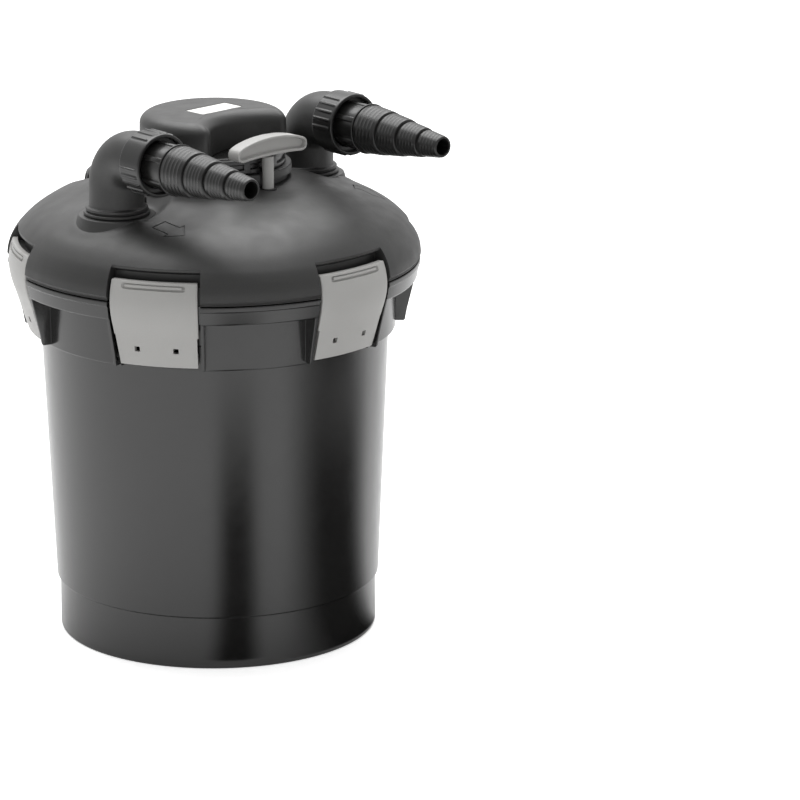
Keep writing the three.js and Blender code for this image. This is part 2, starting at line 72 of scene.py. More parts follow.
# ------------------------------------------------------------------ frame dimensions, in millimetres
MM = 0.001


def low(node):
    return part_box(node)[0] / MM


def high(node):
    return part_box(node)[1] / MM


GAP = 0.4  # air between pieces that touch
RIM_RADIUS = high("tank_shell").x
TANK_TOP = high("tank_shell").z
LID_BOTTOM = low("lid_shell").z
NECK_TOP = high("lid_shell").z
BASE_RADIUS = 147.6
TANK_BORE = 157.5
PLINTH_TOP = 48.5
COLLAR_BOTTOM = 287
COLLAR_RADIUS = 167
FLANGE_BOTTOM = 334
CLIP_HALF_ANGLE = 12.5
RECESS_HALF_ANGLE = 13.2
CHEEK_HALF_ANGLE = 14.1
CLIP_PIVOT = (168.2, 296.5)
CLIP_COUNT = 6
CLIP_SPACING = 360 / CLIP_COUNT
LOCK_HOLE_ANGLE = 5.8  # either side of the clip's middle
TRUNNION_RADIUS = 2.2
TRUNNION_REACH = 39.8  # from the clip's middle to the end of its hinge pin
PORT_DISTANCE = 119
DRAIN_DISTANCE = 135
BOSS_TOP = 412
BOSS_BORE = 22.4
DRAIN_TOP = low("drain_cap").z - GAP
ARM_HEIGHT = 467.6
ARM_SWING = -4.2  # both arms stand off the front at rest
ARM_END = 54  # the elbow's end face, in front of its port
BEND_RADIUS = 30
PIPE_RADIUS = 25
ROD_DISTANCE = 72.6
ROD_RADIUS = 5.25
GRIP_BOTTOM = low("handle_grip").z
HEAD_RADIUS = 67.5
HEAD_BOTTOM = low("head_cap").z
HEAD_TOP = high("head_cap").z
FOAM_COUNT = 5
FOAM_HEIGHT = 50
FOAM_BOTTOM = 45
CABLE_BEARING = 150
GLAND_HEIGHT = 468


# ------------------------------------------------------------------ outlines
def rounded(points, steps=5):
    """A closed outline of (x, y) or (x, y, radius) corners, each radius turned into a soft corner."""
    outline = []
    for i, point in enumerate(points):
        corner = Vector(point[:2])
        radius = point[2] if len(point) > 2 else 0
        before = Vector(points[i - 1][:2]) - corner
        after = Vector(points[(i + 1) % len(points)][:2]) - corner
        if radius <= 0 or min(before.length, after.length) < 1e-6:
            outline.append(corner)
            continue
        half = before.angle(after) / 2
        reach = min(radius / max(math.tan(half), 1e-3), 0.48 * before.length, 0.48 * after.length)
        start = corner + before.normalized() * reach
        end = corner + after.normalized() * reach
        for step in range(steps + 1):
            t = step / steps
            outline.append(start * (1 - t) ** 2 + corner * 2 * t * (1 - t) + end * t * t)
    return [(p.x, p.y) for p in outline]


def through(points, steps=6):
    """A smooth open curve through the points."""
    ends = [points[0], *points, points[-1]]
    curve = []
    for i in range(1, len(ends) - 2):
        a, b, c, d = (Vector(p) for p in ends[i - 1:i + 3])
        for step in range(steps):
            t = step / steps
            curve.append(0.5 * (2 * b + (c - a) * t + (2 * a - 5 * b + 4 * c - d) * t ** 2
                                + (3 * b - a - 3 * c + d) * t ** 3))
    curve.append(Vector(points[-1]))
    return [tuple(p) for p in curve]


def inset(outline, distance):
    """A closed counter-clockwise outline moved inwards."""
    moved = []
    for i, point in enumerate(outline):
        here = Vector(point)
        before = (here - Vector(outline[i - 1])).normalized()
        after = (Vector(outline[(i + 1) % len(outline)]) - here).normalized()
        normal = Vector((-before.y - after.y, before.x + after.x))
        if normal.length < 1e-6:
            normal = Vector((-before.y, before.x))
        normal.normalize()
        stretch = max(normal.dot(Vector((-before.y, before.x))), 0.5)
        moved.append(tuple(here + normal * distance / stretch))
    return moved


def rectangle(width, depth, corner):
    """A rounded rectangle about the origin."""
    x, y = width / 2, depth / 2
    return rounded([(-x, -y, corner), (x, -y, corner), (x, y, corner), (-x, y, corner)])


def ring_section(inner, outer, bottom, top, corner):
    """The (radius, height) section of a flat ring."""
    corners = [(inner, bottom), (outer, bottom), (outer, top), (inner, top)]
    return rounded([(r, z, corner) for r, z in corners])


def bead(radius, height, half_width, half_height):
    """The oval section of a sealing ring."""
    turns = [math.pi / 6 * i for i in range(12)]
    return [(radius + half_width * math.cos(t), height + half_height * math.sin(t)) for t in turns]


def edge_curve(size, steps=4):
    """A rounded edge, from its side to its end face, as (distance from the end face, inset) pairs."""
    turns = [math.pi / 2 * step / steps for step in range(steps + 1)]
    return [(size * (1 - math.sin(t)), size * (1 - math.cos(t))) for t in turns]


def soft_ends(bottom, top, edge):
    """The (height, inset) levels of an upright body with rounded ends."""
    curve = edge_curve(edge)
    rise = [(bottom + height, depth) for height, depth in reversed(curve)]
    return rise + [(top - height, depth) for height, depth in curve]


def smooth(value, start, end):
    """0 before start, 1 after end, and an even S between them."""
    t = min(max((value - start) / (end - start), 0), 1)
    return t * t * (3 - 2 * t)


# ------------------------------------------------------------------ shapes: (points, faces)
def skin(rings, closed_round=False):
    """Rings of points with the same count, joined side by side, with an end face on the first and the
    last unless the rings close on themselves."""
    count = len(rings[0])
    points = [p for ring in rings for p in ring]
    faces = []
    for row in range(len(rings) if closed_round else len(rings) - 1):
        here = row * count
        there = (row + 1) % len(rings) * count
        for i in range(count):
            j = (i + 1) % count
            faces.append((here + i, here + j, there + j, there + i))
    if not closed_round:
        faces.append(tuple(range(count - 1, -1, -1)))
        faces.append(tuple(range(len(points) - count, len(points))))
    return points, faces


def turned(outline, segments=96, shape=None):
    """A closed (radius, height) outline turned round Z; shape(r, bearing, z) may move its points."""
    rings = []
    for step in range(segments):
        bearing = 360 * step / segments
        sine, cosine = math.sin(math.radians(bearing)), math.cos(math.radians(bearing))
        ring = []
        for r, z in outline:
            if shape and r > 0:
                r, z = shape(r, bearing, z)
            ring.append((r * sine, -r * cosine, z))
        rings.append(ring)
    return skin(rings, closed_round=True)


def cylinder(radius, bottom, top, segments=32):
    return turned([(0, bottom), (radius, bottom), (radius, top), (0, top)], segments)


def swept(outline, half_angle, edge=1, steps=24, middle=0):
    """A closed (radius, height) outline swept round Z either side of a bearing, its ends rounded."""
    radius = max(r for r, _ in outline)
    curve = edge_curve(edge) if edge else [(0, 0)]
    ends = [(half_angle - math.degrees(length / radius), depth) for length, depth in curve]
    flat_angle = half_angle - math.degrees(edge / radius)
    between = [(flat_angle * (2 * i / steps - 1), 0) for i in range(1, steps)]
    stations = [(-angle, depth) for angle, depth in reversed(ends)] + between + ends
    rings = []
    for angle, depth in stations:
        sine, cosine = math.sin(math.radians(angle + middle)), math.cos(math.radians(angle + middle))
        section = inset(outline, depth) if depth > 1e-6 else outline
        rings.append([(r * sine, -r * cosine, z) for r, z in section])
    return skin(rings)


def stacked(plan, levels):
    """Rings of plan(inset) at (height, inset) levels, closed at the bottom and top."""
    return skin([[(x, y, height) for x, y in plan(depth)] for height, depth in levels])


def slab(width, depth, bottom, top, edge=1, corner=2):
    """A rounded box standing on the Z axis."""
    plan = rectangle(width, depth, max(corner, edge))
    return stacked(lambda d: inset(plan, d), soft_ends(bottom, top, edge))


def tube(path, radius, sides=24):
    """A round bar whose path lies in the Y-Z plane."""
    rings = []
    for i, (y, z) in enumerate(path):
        ahead = Vector(path[min(i + 1, len(path) - 1)]) - Vector(path[max(i - 1, 0)])
        ahead.normalize()
        ring = []
        for side in range(sides):
            angle = 2 * math.pi * side / sides
            out = radius * math.sin(angle)
            ring.append((radius * math.cos(angle), y - out * ahead.y, z + out * ahead.x))
        rings.append(ring)
    return skin(rings)


def moved(shape, matrix):
    points, faces = shape
    return [tuple(matrix @ Vector(p)) for p in points], faces


def at(x, y, z=0):
    return Matrix.Translation((x, y, z))


def spun(degrees, axis="Z"):
    return Matrix.Rotation(math.radians(degrees), 4, axis)


# ------------------------------------------------------------------ meshes and objects
def mesh_from(shape):
    points, faces = shape
    mesh = bpy.data.meshes.new("draft")
    mesh.from_pydata([tuple(MM * c for c in p) for p in points], [], faces)
    work = bmesh.new()
    work.from_mesh(mesh)
    bmesh.ops.remove_doubles(work, verts=work.verts, dist=1e-7)
    bmesh.ops.dissolve_degenerate(work, edges=work.edges, dist=1e-8)
    bmesh.ops.recalc_face_normals(work, faces=work.faces)
    work.to_mesh(mesh)
    work.free()
    return mesh


def carved(shape, *steps):
    """The shape after boolean steps, each ("cut" or "add", another shape)."""
    body = bpy.data.objects.new("draft", mesh_from(shape))
    bpy.context.scene.collection.objects.link(body)
    tools = []
    for kind, tool_shape in steps:
        tool = bpy.data.objects.new("tool", mesh_from(tool_shape))
        bpy.context.scene.collection.objects.link(tool)
        tools.append(tool)
        modifier = body.modifiers.new(kind, "BOOLEAN")
        modifier.operation = "DIFFERENCE" if kind == "cut" else "UNION"
        modifier.solver = "MANIFOLD"
        modifier.object = tool
    graph = bpy.context.evaluated_depsgraph_get()
    mesh = bpy.data.meshes.new_from_object(body.evaluated_get(graph))
    for extra in [body, *tools]:
        bpy.data.objects.remove(extra)
    return mesh


SLOTS = {row["node"]: row["material_slot"] for row in frame["record"]["subparts"]}


def piece(node, shape, sharp=32, place=None):
    """A fine piece that stands for a CAD node, rides on its body and wears its material slot's look."""
    look = SLOTS[node]
    mesh = shape if isinstance(shape, bpy.types.Mesh) else mesh_from(shape)
    if place is not None:
        scaled = place.copy()
        scaled.translation *= MM
        mesh.transform(scaled)
    mesh.name = "fine_" + node
    mesh.materials.clear()
    mesh.materials.append(LOOKS[look])
    mesh.polygons.foreach_set("material_index", [0] * len(mesh.polygons))
    mesh.polygons.foreach_set("use_smooth", [True] * len(mesh.polygons))
    mesh.set_sharp_from_angle(angle=math.radians(sharp))
    fine = bpy.data.objects.new("fine_" + node, mesh)
    bpy.context.scene.collection.objects.link(fine)
    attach(fine, frame["nodes"][node]["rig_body"])
    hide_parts(node)
    return fine


# ------------------------------------------------------------------ materials
def node_tree(name):
    material = bpy.data.materials.new(name)
    material.use_nodes = True
    nodes = material.node_tree.nodes
    return material, nodes, material.node_tree.links, nodes["Principled BSDF"]


def noise_texture(nodes, links, coordinates, scale, detail=4, kind="ShaderNodeTexNoise"):
    texture = nodes.new(kind)
    texture.inputs["Scale"].default_value = scale
    if "Detail" in texture.inputs:
        texture.inputs["Detail"].default_value = detail
    links.new(coordinates.outputs["Object"], texture.inputs["Vector"])
    return texture


def ranged(nodes, links, source, low_value, high_value, from_low=0.3, from_high=0.7):
    """The source spread over another range."""
    spread = nodes.new("ShaderNodeMapRange")
    spread.inputs["From Min"].default_value = from_low
    spread.inputs["From Max"].default_value = from_high
    spread.inputs["To Min"].default_value = low_value
    spread.inputs["To Max"].default_value = high_value
    links.new(source, spread.inputs["Value"])
    return spread.outputs["Result"]


def mixed(nodes, links, share, first, second):
    """A colour mix; share, first and second are sockets or values."""
    mix = nodes.new("ShaderNodeMix")
    mix.data_type = "RGBA"
    for name, value in (("Factor", share), ("A", first), ("B", second)):
        socket = mix.inputs[name]
        if isinstance(value, bpy.types.NodeSocket):
            links.new(value, socket)
        else:
            socket.default_value = value
    return mix.outputs["Result"]


def shade(grey, tint=(1, 1, 1), level=1):
    return tuple(grey * level * t for t in tint) + (1,)


def plastic(name, grey, roughness, grain=0.00002, grain_scale=2600, tint=(1, 1, 1), wear=0.5,
            specular=0.5, mottling=0.12, speckle=1.5):
    """Moulded plastic: mottled colour, uneven gloss, a fine spark-eroded grain, and paler rubbed edges."""
    material, nodes, links, skin_shader = node_tree(name)
    coordinates = nodes.new("ShaderNodeTexCoord")
    cloud = noise_texture(nodes, links, coordinates, 18)
    speck = noise_texture(nodes, links, coordinates, 900, 2)
    colour = mixed(nodes, links, ranged(nodes, links, cloud.outputs["Fac"], 0, 1),
                   shade(grey, tint, 1 - mottling), shade(grey, tint, 1 + mottling))
    colour = mixed(nodes, links, ranged(nodes, links, speck.outputs["Fac"], 0, 0.5, 0.45, 0.75),
                   colour, shade(grey, tint, speckle))
    soft = nodes.new("ShaderNodeBevel")
    soft.samples = 4
    soft.inputs["Radius"].default_value = 0.6 * MM
    geometry = nodes.new("ShaderNodeNewGeometry")
    facing = nodes.new("ShaderNodeVectorMath")
    facing.operation = "DOT_PRODUCT"
    links.new(soft.outputs["Normal"], facing.inputs[0])
    links.new(geometry.outputs["Normal"], facing.inputs[1])
    rubbed = ranged(nodes, links, facing.outputs["Value"], wear, 0, 0.8, 0.99)
    colour = mixed(nodes, links, rubbed, colour, shade(grey, tint, 2.2))
    links.new(colour, skin_shader.inputs["Base Color"])
    smudge = noise_texture(nodes, links, coordinates, 55, 6)
    links.new(ranged(nodes, links, smudge.outputs["Fac"], roughness * 0.9, roughness * 1.12),
              skin_shader.inputs["Roughness"])
    grain_texture = noise_texture(nodes, links, coordinates, grain_scale, 3)
    bump = nodes.new("ShaderNodeBump")
    bump.inputs["Strength"].default_value = 1
    bump.inputs["Distance"].default_value = grain
    links.new(grain_texture.outputs["Fac"], bump.inputs["Height"])
    links.new(soft.outputs["Normal"], bump.inputs["Normal"])
    links.new(bump.outputs["Normal"], skin_shader.inputs["Normal"])
    skin_shader.inputs["Specular IOR Level"].default_value = specular
    return material


def foam(name, colour):
    """Open-cell foam: pale struts between pores darkened with painted shade, with no gloss."""
    material, nodes, links, skin_shader = node_tree(name)
    coordinates = nodes.new("ShaderNodeTexCoord")
    cells = noise_texture(nodes, links, coordinates, 420, kind="ShaderNodeTexVoronoi")
    cloud = noise_texture(nodes, links, coordinates, 25)
    # Painted shade: the strut colour falls to the dark pore colour towards each cell's middle, where the
    # bump sinks the pore.
    depth = ranged(nodes, links, cells.outputs["Distance"], 0, 1, 0.15, 0.6)
    tinted = mixed(nodes, links, ranged(nodes, links, cloud.outputs["Fac"], 0, 1),
                   tuple(0.8 * c for c in colour) + (1,), tuple(1.15 * c for c in colour) + (1,))
    # The colour of the painted shade in the pores.
    pore_shade_colour = tuple(0.18 * c for c in colour) + (1,)
    links.new(mixed(nodes, links, depth, pore_shade_colour, tinted), skin_shader.inputs["Base Color"])
    bump = nodes.new("ShaderNodeBump")
    bump.inputs["Strength"].default_value = 1
    bump.inputs["Distance"].default_value = 0.0012
    links.new(cells.outputs["Distance"], bump.inputs["Height"])
    links.new(bump.outputs["Normal"], skin_shader.inputs["Normal"])
    skin_shader.inputs["Roughness"].default_value = 0.95
    skin_shader.inputs["Specular IOR Level"].default_value = 0.15
    return material


def quartz_glass(name):
    """Clear glass with the faint streaks of drawn quartz."""
    material, nodes, links, skin_shader = node_tree(name)
    coordinates = nodes.new("ShaderNodeTexCoord")
    streak = noise_texture(nodes, links, coordinates, 60)
    links.new(ranged(nodes, links, streak.outputs["Fac"], 0.01, 0.08), skin_shader.inputs["Roughness"])
    links.new(mixed(nodes, links, streak.outputs["Fac"], (0.86, 0.95, 0.97, 1), (0.97, 1, 1, 1)),
              skin_shader.inputs["Base Color"])
    skin_shader.inputs["Transmission Weight"].default_value = 1
    skin_shader.inputs["IOR"].default_value = 1.45
    return material


def metal(name):
    """Zinc plating: brushed, faintly mottled."""
    material, nodes, links, skin_shader = node_tree(name)
    coordinates = nodes.new("ShaderNodeTexCoord")
    spangle = noise_texture(nodes, links, coordinates, 300, kind="ShaderNodeTexVoronoi")
    smear = noise_texture(nodes, links, coordinates, 120)
    links.new(mixed(nodes, links, spangle.outputs["Distance"], (0.42, 0.43, 0.45, 1), (0.6, 0.61, 0.62, 1)),
              skin_shader.inputs["Base Color"])
    links.new(ranged(nodes, links, smear.outputs["Fac"], 0.25, 0.45), skin_shader.inputs["Roughness"])
    bump = nodes.new("ShaderNodeBump")
    bump.inputs["Distance"].default_value = 0.00005
    links.new(smear.outputs["Fac"], bump.inputs["Height"])
    links.new(bump.outputs["Normal"], skin_shader.inputs["Normal"])
    skin_shader.inputs["Metallic"].default_value = 1
    return material


WARM = (1, 0.995, 0.96)
LOOKS = {
    "shell": plastic("black_tank", 0.011, 0.2, 0.000006, 3200, WARM, mottling=0.08, specular=0.85),
    "lid": plastic("black_textured", 0.019, 0.47, 0.00003, 1700, WARM, specular=0.75),
    "fitting": plastic("black_fitting", 0.01, 0.3, 0.000012, 2200, WARM, specular=0.7),
    "grey": plastic("grey_plastic", 0.41, 0.38, 0.000006, 2400, (1, 0.99, 0.96), wear=0.25, mottling=0.02,
                    speckle=1.06),
    "rubber": plastic("rubber", 0.02, 0.75, 0.00005, 1500),
    "white": plastic("white_plastic", 0.8, 0.45, 0.00001, 2200, WARM, wear=0.1, mottling=0.02),
    "blue_foam": foam("foam_blue", (0.04, 0.13, 0.34)),
    "red_foam": foam("foam_red", (0.4, 0.05, 0.035)),
    "quartz": quartz_glass("quartz_glass"),
    "zinc": metal("zinc_plate"),
}


# ------------------------------------------------------------------ tank
AT_CLIP_PIVOT = at(0, -CLIP_PIVOT[0], CLIP_PIVOT[1]) @ spun(90, "Y")


def tank():
    outline = rounded([
        (0, 0), (BASE_RADIUS, 0, 2.5), (BASE_RADIUS, PLINTH_TOP, 0.8), (150.4, PLINTH_TOP + 2, 1.4),
        (160.5, COLLAR_BOTTOM, 0.8), (COLLAR_RADIUS, COLLAR_BOTTOM, 1.8), (167.6, FLANGE_BOTTOM, 3),
        (186.8, FLANGE_BOTTOM, 2.4), (188.9, 346.4, 0.8), (RIM_RADIUS, 347.4, 0.8),
        (RIM_RADIUS, TANK_TOP, 0.8), (TANK_BORE, TANK_TOP, 1), (TANK_BORE, COLLAR_BOTTOM + 12, 3),
        (156.9, COLLAR_BOTTOM, 3), (146.8, PLINTH_TOP + 3, 3), (144, PLINTH_TOP, 3), (144, 5, 8), (0, 5),
    ])
    cheek = rounded([(165, 289), (175.5, 289, 2), (177.5, 300, 4), (186, 334.5), (165, 334.5)])
    pocket = [(161.5, 286), (200, 286), (200, 352.4), (184, 352.4), (184, 351), (182.4, 339), (180.6, 333),
              (168.5, 312), (161.5, 308)]
    overlap = 0.1  # degrees that a cheek plate runs into the pocket before the pocket is cut
    plate = (CHEEK_HALF_ANGLE - RECESS_HALF_ANGLE + overlap) / 2
    steps = []
    for i in range(CLIP_COUNT):
        bearing = CLIP_SPACING * i
        for side in (-1, 1):
            middle = bearing + side * (RECESS_HALF_ANGLE - overlap + plate)
            steps.append(("add", swept(cheek, plate, 0.5, 4, middle)))
        steps.append(("cut", swept(pocket, RECESS_HALF_ANGLE, 0, 24, bearing)))
        hole_reach = TRUNNION_REACH + GAP
        hole = cylinder(TRUNNION_RADIUS + GAP, -hole_reach, hole_reach, 24)
        steps.append(("cut", moved(hole, spun(bearing) @ AT_CLIP_PIVOT)))
    piece("tank_shell", carved(turned(outline, 288), *steps))


# ------------------------------------------------------------------ clips
def clip(index):
    face = through([(172.8, 291.5), (177, 304.5), (182.5, 322.5), (187.5, 338), (189.3, 351),
                    (187.9, 363), (185.3, 371.2)])
    back = through([(182.5, 368.4), (183, 362.5), (184.8, 351), (183.2, 339.5), (178.3, 324),
                    (173, 306.5)], 4)
    hub = rounded([(169.5, 301.5, 1), (165, 300.3, 3), (163.2, 296.5, 3), (165, 292.7, 3),
                   (168.2, 291.3, 1)])
    outline = [*face, (184.6, 372), (180.2, 372), (180.2, 368.4), *back, *hub]
    groove = rounded([(185.6, 364.3, 0.6), (190, 365.4), (190, 370.7), (184.2, 369.6, 0.6)])
    rib = rounded([(184.6, 365.9), (186.7, 366.4, 0.8), (185.8, 368.9, 0.8), (183.6, 368.4)])
    pin = rounded([(0, -TRUNNION_REACH), (TRUNNION_RADIUS, -TRUNNION_REACH, 0.5),
                   (TRUNNION_RADIUS, TRUNNION_REACH, 0.5), (0, TRUNNION_REACH)])
    steps = [("add", moved(turned(pin, 24), AT_CLIP_PIVOT))]
    lower_edge = [(150, 280), (200, 280), (200, 321), (150, 321)]
    for side in (-1, 1):
        hole = slab(5, 5, 0, 14, 0.3, 0.6)
        hole_place = spun(side * LOCK_HOLE_ANGLE) @ at(0, -170, 308) @ spun(90, "X")
        steps.append(("cut", moved(hole, hole_place)))
        steps.append(("cut", swept(lower_edge, 1.2, 0, 2, side * (CLIP_HALF_ANGLE + 0.75))))
    steps.append(("cut", swept(groove, 9.1, 2.2, 24)))
    steps.append(("add", swept(rib, 8.3, 1, 24)))
    mesh = carved(swept(outline, CLIP_HALF_ANGLE, 1.1, 28), *steps)
    piece(f"clip_{index + 1}", mesh, place=spun(CLIP_SPACING * index))


# ------------------------------------------------------------------ lid
PORTS = [(-PORT_DISTANCE, 0, BOSS_TOP), (PORT_DISTANCE, 0, BOSS_TOP), (0, DRAIN_DISTANCE, DRAIN_TOP)]
LID_WALL = 5
DOME = through([(190.6, 356.5), (189.5, 364.4), (186.4, 373), (180, 382.6), (167.5, 394), (148, 404.8),
                (120, 415.4), (95, 423), (73.7, 427.4)], 9)
VALLEY_BEARING = 60
ARROWS = [(-1, 59, 136), (1, 57, 143)]  # side, bearing from the front, distance from the middle


def dome_swell(r, bearing):
    """How far the dome stands above its plain profile: a broad band from front to back, and shallow
    valleys between it and the hose ports."""
    turn = abs((bearing + 180) % 360 - 180)
    turn = min(turn, 180 - turn)
    band = 2.4 * math.exp(-(turn / 34) ** 2) * smooth(r, 78, 105) * (1 - smooth(r, 150, 186))
    valley = 3.4 * math.exp(-((turn - VALLEY_BEARING) / 15) ** 2) * smooth(r, 88, 116)
    return band - valley * (1 - smooth(r, 118, 150))


def plain_height(r):
    """The height of the dome's plain profile."""
    for (r1, z1), (r2, z2) in zip(DOME, DOME[1:]):
        if r2 <= r <= r1:
            return z1 + (z2 - z1) * (r1 - r) / max(r1 - r2, 1e-6)
    return DOME[-1][1]


def dome_height(x, y):
    """The height of the lid's outer face over a place, dished or raised round the ports."""
    r = math.hypot(x, y)
    z = plain_height(r) + dome_swell(r, math.degrees(math.atan2(x, -y)))
    for port_x, port_y, top in PORTS:
        distance = math.hypot(x - port_x, y - port_y)
        if z > top - 0.7:
            z += (top - 0.7 - z) * (1 - smooth(distance, 34, 40 + (z - top) * 0.9))
        elif distance > 33:
            z += 1.2 * math.exp(-((distance - 37) / 6) ** 2)
    return z


def dome_shape(r, bearing, z):
    """Lifts the plain lathe form of the lid's outer face and ceiling to the real dome."""
    if z < 370 or not 74.5 < r < 186:
        return r, z
    height = dome_height(r * math.sin(math.radians(bearing)), -r * math.cos(math.radians(bearing)))
    if abs(z - plain_height(r)) < 0.01:
        return r, height
    return (r, height - LID_WALL) if r < 159 else (r, z)


def arrow_groove(direction, centre_x, centre_y):
    """A cutter for the outline of a block arrow that points along Y, sunk into the dome."""
    half, tail, head = 17, 7.5, 12.5
    corners = [(-tail, -half), (tail, -half), (tail, 3), (head, 3), (0, half), (-head, 3), (-tail, 3)]
    outline = []
    for i, corner in enumerate(corners):
        start, end = Vector(corner), Vector(corners[(i + 1) % len(corners)])
        outline += [tuple(start.lerp(end, t / 5)) for t in range(5)]
    rings = []
    for width, lift in ((-0.5, -1.1), (0.5, -1.1), (0.5, 4), (-0.5, 4)):
        ring = []
        for x, y in inset(outline, width):
            x, y = centre_x + x, centre_y + direction * y
            ring.append((x, y, dome_height(x, y) + lift))
        rings.append(ring)
    return skin(rings, closed_round=True)


def lid():
    dense = []
    for (r1, z1), (r2, z2) in zip(DOME, DOME[1:]):
        dense += [(r1, z1), ((r1 + r2) / 2, (z1 + z2) / 2)]
    neck = rounded([(68, 428, 0.8), (68, 432.6, 0.6), (71.7, 433, 0.8), (71.7, NECK_TOP, 1.2),
                    (45, NECK_TOP, 1), (45, 423.6)])
    ceiling = [(r, plain_height(r) - LID_WALL) for r in range(76, 156, 2)]
    bottom = rounded([(160, 378, 4), (160, LID_BOTTOM), (190, LID_BOTTOM, 0.7)])
    boss = rounded([(0, -24), (41.5, -24), (35.6, -2.6), (34.7, 0, 1.2), (0, 0)])
    recess = rounded([(184, 351.3), (200.6, 351.3), (200.6, 400), (179.6, 400), (179.6, 380.8, 0.5),
                      (174, 378, 1), (174, 367.6, 0.8), (182, 367.6, 0.6), (182.2, 362), (184, 351.5)])
    steps = []
    for x, y, top in PORTS:
        steps.append(("add", moved(turned(boss, 96), at(x, y, top))))
    for i in range(CLIP_COUNT):
        steps.append(("cut", swept(recess, RECESS_HALF_ANGLE, 0, 24, CLIP_SPACING * i)))
    for side in (-1, 1):
        bore = cylinder(BOSS_BORE, 370, 430, 64)
        steps.append(("cut", moved(bore, at(side * PORT_DISTANCE, 0))))
    for side, bearing, distance in ARROWS:
        x = side * distance * math.sin(math.radians(bearing))
        y = -distance * math.cos(math.radians(bearing))
        steps.append(("cut", arrow_groove(side, x, y)))
    spigot = rounded([(15, -6), (24.5, -6), (24.5, 11, 1), (15, 11, 1)])
    at_drain = at(0, DRAIN_DISTANCE, DRAIN_TOP)
    steps.append(("add", moved(turned(spigot, 64), at_drain)))
    steps.append(("cut", moved(cylinder(18.5, -32, 18, 48), at_drain)))
    steps.append(("cut", moved(cylinder(7.6, 400, 450, 40), at(0, -ROD_DISTANCE))))
    steps.append(("cut", moved(slab(17.2, 12, 428.6, 450, 0.4, 1.2), at(0, -ROD_DISTANCE + 3))))
    outline = dense + [DOME[-1]] + neck + ceiling + bottom
    piece("lid_shell", carved(turned(outline, 288, dome_shape), *steps), 38)


# ------------------------------------------------------------------ hose ports
def along(shape):
    """A shape drawn standing on Z, laid along the hose axis so that its height runs forward."""
    return moved(shape, at(0, 0, ARM_HEIGHT) @ spun(90, "X"))


def bend_path(bottom, end):
    """The centre line, (y, z), of a pipe that rises, bends over and runs forward."""
    turns = [math.pi / 2 * step / 20 for step in range(21)]
    middle = ARM_HEIGHT - BEND_RADIUS
    bend = [(-BEND_RADIUS * (1 - math.cos(t)), middle + BEND_RADIUS * math.sin(t)) for t in turns]
    return [(0, bottom), *bend, (-end, ARM_HEIGHT)]


def elbow(side_name, port, lug_side):
    bottom = BOSS_TOP + GAP
    foot = rounded([(0, bottom), (30, bottom, 0.9), (30, bottom + 2.8, 0.9), (26.4, bottom + 3.2, 0.4),
                    (26.4, bottom + 4.2, 0.4), (28.2, bottom + 4.6, 0.7), (28.2, bottom + 6.8, 1),
                    (25.2, bottom + 7.6, 1.5), (24.8, bottom + 12), (0, bottom + 12)])
    lug = moved(slab(7, 9, bottom + 0.6, bottom + 11, 0.6, 1.2), at(lug_side * 27.5, 0))
    spigot = rounded([(0, 394), (20.4, 394, 0.8), (20.4, 416), (0, 416)])
    pipe = tube(bend_path(bottom + 0.3, ARM_END), PIPE_RADIUS, 72)
    bore = tube(bend_path(390, ARM_END + 2), 18.5, 64)
    mesh = carved(pipe, ("add", turned(foot, 96)), ("add", lug), ("add", turned(spigot, 72)), ("cut", bore))
    piece(f"elbow_{side_name}", mesh, place=port)


NUT_RIBS = 24
NUT_PANELS = 3  # smooth panels between the groups of ribs
PANEL_MIDDLE = {"out": 245, "in": 185}  # the bearing of one panel round each nut


def union_nut(side_name, port):
    spacing = 360 / NUT_PANELS

    def ribbed(r, bearing, z):
        if r < 27.6 or not 42.5 < z < 66:
            return r, z
        from_panel = abs((bearing - PANEL_MIDDLE[side_name] + spacing / 2) % spacing - spacing / 2)
        wave = math.cos(math.radians(bearing * NUT_RIBS))
        height = 1.15 * smooth(wave, 0.35, 0.75) * smooth(from_panel, 24, 25)
        return r + height * smooth(z, 42.5, 43.5) * (1 - smooth(z, 64.4, 65.6)), z

    outline = rounded([
        (25.4, 41.5), (28.4, 41.5, 1), (28.6, 42.8), (28.6, 43.6), (28.6, 64.2), (28.6, 65.6),
        (28.6, 68.5, 1.8), (25.3, 68.5, 1), (25.3, 62, 0.6), (21.2, 62, 0.6), (21.2, 59), (25.4, 59),
    ])
    piece(f"union_nut_{side_name}", along(turned(outline, NUT_RIBS * 12, ribbed)), place=port)


# Each step of the hose tail: where it starts and ends along the arm, and its radius at each.
TAIL_STEPS = [
    (92, 119, 22.4, 20.3), (121.2, 143.5, 19.4, 17), (145.8, 168, 15.7, 13.4), (170.2, 192, 12.3, 9.8),
]
RIDGE_HEIGHT = 0.3
RIDGE_COUNT = 5


def tail_outline():
    outline = [(16, 56.6), (24.3, 56.6, 0.4), (24.3, 58.7, 0.4), (20.5, 58.7), (20.5, 63), (20.5, 64.5),
               (20.5, 87), (20.5, 90), (23.4, 90.2, 0.5), (23.4, 91.7, 0.5), (20.8, 92)]
    for i, (start, end, wide, narrow) in enumerate(TAIL_STEPS):
        outline += [(wide - 1, start + 0.1), (wide, start + 0.7, 0.4)]
        for ridge in range(1, RIDGE_COUNT + 1):
            share = ridge / (RIDGE_COUNT + 1)
            place = start + (end - start) * share
            radius = wide + (narrow - wide) * share
            outline += [(radius, place - 0.8), (radius + RIDGE_HEIGHT, place, 0.2), (radius, place + 0.4)]
        if i < len(TAIL_STEPS) - 1:
            groove = TAIL_STEPS[i + 1][2] - 1.6
            outline += [(narrow, end - 0.4, 0.3), (groove, end + 0.2), (groove, TAIL_STEPS[i + 1][0])]
    outline += [(9.8, 191.2, 0.6), (9.2, 192, 0.3), (7.6, 192, 0.4), (7.6, 165), (14, 116)]
    return rounded(outline, 3)


